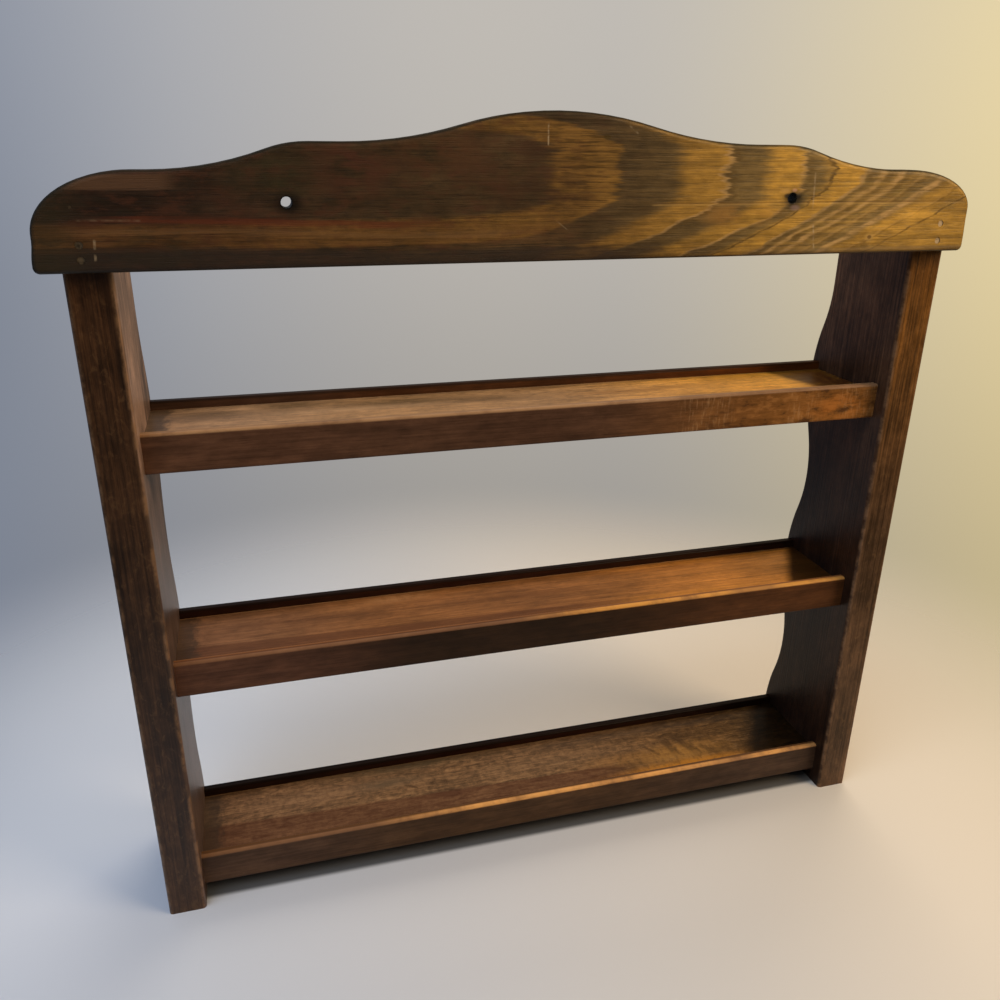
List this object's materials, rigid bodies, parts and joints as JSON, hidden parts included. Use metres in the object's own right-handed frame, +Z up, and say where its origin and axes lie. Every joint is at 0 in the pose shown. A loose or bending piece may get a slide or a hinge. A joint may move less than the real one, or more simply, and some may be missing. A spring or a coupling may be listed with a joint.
{
  "type": "wall shelf",
  "caption": "Small wooden wall shelf with scalloped sides, railed shallow shelves and a wavy crest board with hanging holes, for spice jars and small things.",
  "frame": {"origin": "on the floor, under the middle of the whole shelf's box", "axes": "+Z up, -Y towards the scalloped front, +Y towards the wall, +X the user's right"},
  "size_m": [0.4284, 0.081, 0.4],
  "materials": {
    "side_wood": "dark stain, satin varnish, worn arrises",
    "crest_wood": "dark stain over strong cathedral grain, satin",
    "shelf_wood": "brown stain, glossy varnish, worn",
    "rail_wood": "dark stain, satin varnish, scuffed",
    "nail_steel": "dull, slightly tarnished"
  },
  "bodies": {
    "root": {"bottom_front_rail": "rail_wood", "bottom_rear_rail": "rail_wood", "bottom_shelf": "shelf_wood", "crest_board": "crest_wood", "crest_nails": "nail_steel", "left_side": "side_wood", "middle_front_rail": "rail_wood", "middle_rear_rail": "rail_wood", "middle_shelf": "shelf_wood", "right_side": "side_wood", "shelf_nails": "nail_steel", "top_front_rail": "rail_wood", "top_rear_rail": "rail_wood", "top_shelf": "shelf_wood"}
  },
  "joints": []
}
